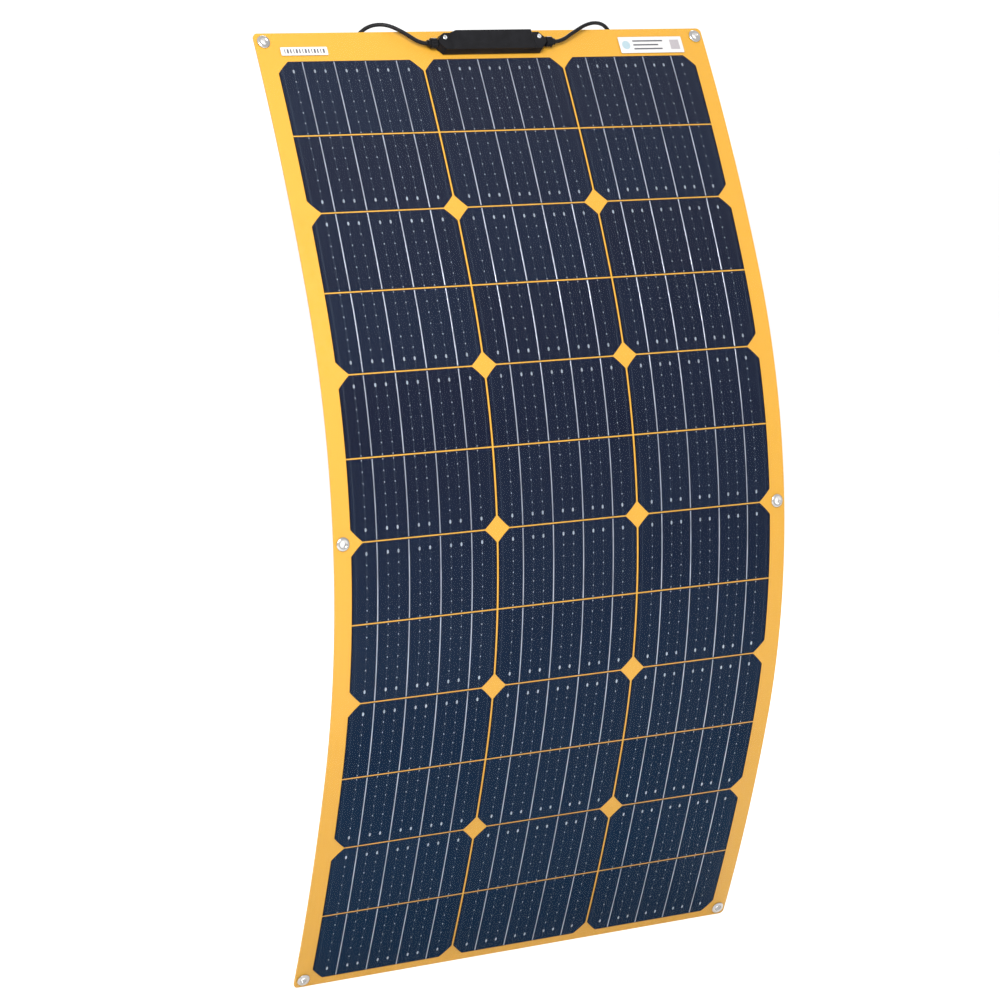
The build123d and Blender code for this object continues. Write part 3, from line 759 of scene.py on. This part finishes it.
make_lead("positive", -1, [
    (-0.072, 0.1299, 0.4715),
    (-0.080, 0.1299, 0.4715),
    (-0.097, 0.1336, 0.4832),
    (-0.112, 0.1410, 0.4912),
    (-0.126, 0.1515, 0.4903),
    (-0.1375, 0.1585, 0.4795),
    (-0.1425, 0.1615, 0.461),
    (-0.144, 0.163, 0.432),
    (-0.1444, 0.1632, 0.402),
    (-0.144, 0.163, 0.372),
])
make_lead("negative", 1, [
    (0.072, 0.1299, 0.4715),
    (0.080, 0.1299, 0.4715),
    (0.098, 0.1326, 0.4815),
    (0.114, 0.1365, 0.4888),
    (0.131, 0.1445, 0.4910),
    (0.1465, 0.1525, 0.4875),
    (0.158, 0.159, 0.4755),
    (0.163, 0.1615, 0.456),
    (0.1646, 0.163, 0.430),
    (0.165, 0.1633, 0.404),
    (0.1646, 0.163, 0.376),
])

for row in range(ROWS):
    make_layers(row)
    make_cells(row)


# Print on the labels: bars, a disc and a patch, with no lettering


def print_marks(name, material, marks):
    """Flat printed marks on a label, from (middle x, middle along, width, height) boxes."""
    mesh = SheetMesh()
    for x, along, width, height in marks:
        sides = [x - width / 2, x + width / 2]
        ends = (along - height / 2, along + height / 2)
        mesh.slab([(end, sides) for end in ends], PRINT_BACK, PRINT_FACE)
    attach(mesh.finish(name, material, "label_paper"), "top")


def print_disc(name, material, x, along, radius):
    """A round printed mark on a label."""
    mesh = SheetMesh()
    rows = []
    for step in range(1, DISC_STEPS):
        angle = pi * step / DISC_STEPS
        reach = radius * sin(angle)
        rows.append((along - radius * cos(angle), [x - reach, x + reach]))
    mesh.slab(rows, PRINT_BACK, PRINT_FACE)
    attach(mesh.finish(name, material, "label_paper"), "top")


def print_labels():
    """A row of upright bars on one label; a disc, three lines and a patch on the other."""
    bars = []
    for number in range(SERIAL_BARS):
        x = SERIAL_LABEL_X - SERIAL_BARS_REACH + number * SERIAL_BAR_PITCH
        width = SERIAL_BAR_WIDTH + number * 5 % 3 * SERIAL_BAR_GROWTH
        bars.append((x, SERIAL_LABEL_ALONG, width, SERIAL_BAR_HEIGHT))
    print_marks("serial_label_bars", "dark_ink", bars)
    lines = []
    for line, length in ((1, 0.036), (0, 0.030), (-1, 0.034)):
        middle = RATING_LABEL_X - RATING_LINES_REACH + length / 2
        lines.append((middle, RATING_LABEL_ALONG + line * RATING_LINE_PITCH, length, RATING_LINE_HEIGHT))
    print_marks("rating_label_lines", "dark_ink", lines)
    patch = (RATING_LABEL_X + RATING_PATCH_PLACE, RATING_LABEL_ALONG, RATING_PATCH_SIZE, RATING_PATCH_SIZE)
    print_marks("rating_label_patch", "grey_ink", [patch])
    disc_x = RATING_LABEL_X - RATING_DISC_PLACE
    print_disc("rating_label_disc", "blue_ink", disc_x, RATING_LABEL_ALONG, RATING_DISC_RADIUS)


print_labels()


# Finish of the CAD pieces that stay

CAD_FINISHES = {
    "eyelet": ("top_eyelets", "side_eyelets", "bottom_eyelets", "top_eyelet_washers", "side_eyelet_washers",
               "bottom_eyelet_washers"),
    "bus": ("bus_ribbons_top", "bus_ribbons_bottom"),
    "box": ("junction_box_base", "junction_box_lid", "cable_glands"),
    "foam": ("box_adhesive_pad",),
    "rubber": ("lid_gasket",),
    "screw": ("lid_screws", "positive_contact", "negative_contact"),
    "brass": ("terminals",),
    "epoxy": ("bypass_diode",),
    "copper": ("lead_cores",),
    "paper": ("serial_label", "rating_label"),
    "tie": ("positive_coil_tie", "negative_coil_tie"),
    "connector": ("positive_connector_nut", "positive_connector_body", "negative_connector_nut",
                  "negative_connector_body"),
}


def soften(node, width):
    """Rounds the hard edges of a moulded or turned CAD piece, as its tool would."""
    rounding = node.modifiers.new("rounding", "BEVEL")
    rounding.width = width
    rounding.segments = 2
    rounding.limit_method = "ANGLE"
    rounding.angle_limit = radians(32)
    rounding.harden_normals = False


SOFTENED = ("box", "tie", "connector")


def finish_cad_nodes():
    """Gives each CAD piece that stays its material, and the moulded ones their rounded edges."""
    for material, names in CAD_FINISHES.items():
        for name in names:
            for slot in nodes[name].material_slots:
                slot.material = MATERIALS[material]
            if material in SOFTENED:
                soften(nodes[name], EDGE_ROUNDING)


finish_cad_nodes()


# Floor and light


def make_floor():
    """A wide pale floor just under the sheet's bottom edge."""
    material, tree, shader = new_material("floor", Roughness=0.6, Specular_IOR_Level=0.2)
    grain = noise(tree, frame_place(tree), 3, 3)
    tree.links.new(
        mix_colour(tree, grain, (0.86, 0.86, 0.86), (0.88, 0.88, 0.88)), shader.inputs["Base Color"]
    )
    mesh = bpy.data.meshes.new("floor")
    level = cad_low.z - FLOOR_GAP
    corners = ((-1, -1), (1, -1), (1, 1), (-1, 1))
    points = [(x * FLOOR_REACH, y * FLOOR_REACH, level) for x, y in corners]
    mesh.from_pydata(points, [], [(0, 1, 2, 3)])
    mesh.materials.append(material)
    floor = bpy.data.objects.new("floor", mesh)
    bpy.context.scene.collection.objects.link(floor)


def make_light(name, spot, aim, size, power, colour=(1, 1, 1)):
    """A soft square studio light."""
    data = bpy.data.lights.new(name, "AREA")
    data.shape = "SQUARE"
    data.size = size
    data.energy = power
    data.color = colour
    light = bpy.data.objects.new(name, data)
    light.location = spot
    light.rotation_mode = "QUATERNION"
    light.rotation_quaternion = (Vector(aim) - Vector(spot)).to_track_quat("-Z", "Y")
    bpy.context.scene.collection.objects.link(light)


def make_world():
    """Even white light from all round."""
    world = bpy.data.worlds.new("studio")
    world.use_nodes = True
    world.node_tree.nodes["Background"].inputs["Color"].default_value = (1, 1, 1, 1)
    world.node_tree.nodes["Background"].inputs["Strength"].default_value = 1.15
    bpy.context.scene.world = world


make_floor()
make_world()
make_light("key", (-1.0, -1.5, 1.1), (0, 0.05, 0.15), 0.8, 86)
make_light("back", (0.9, 1.8, 1.6), (0, 0.1, 0.1), 1.2, 40)
bpy.context.scene.view_settings.view_transform = "Standard"
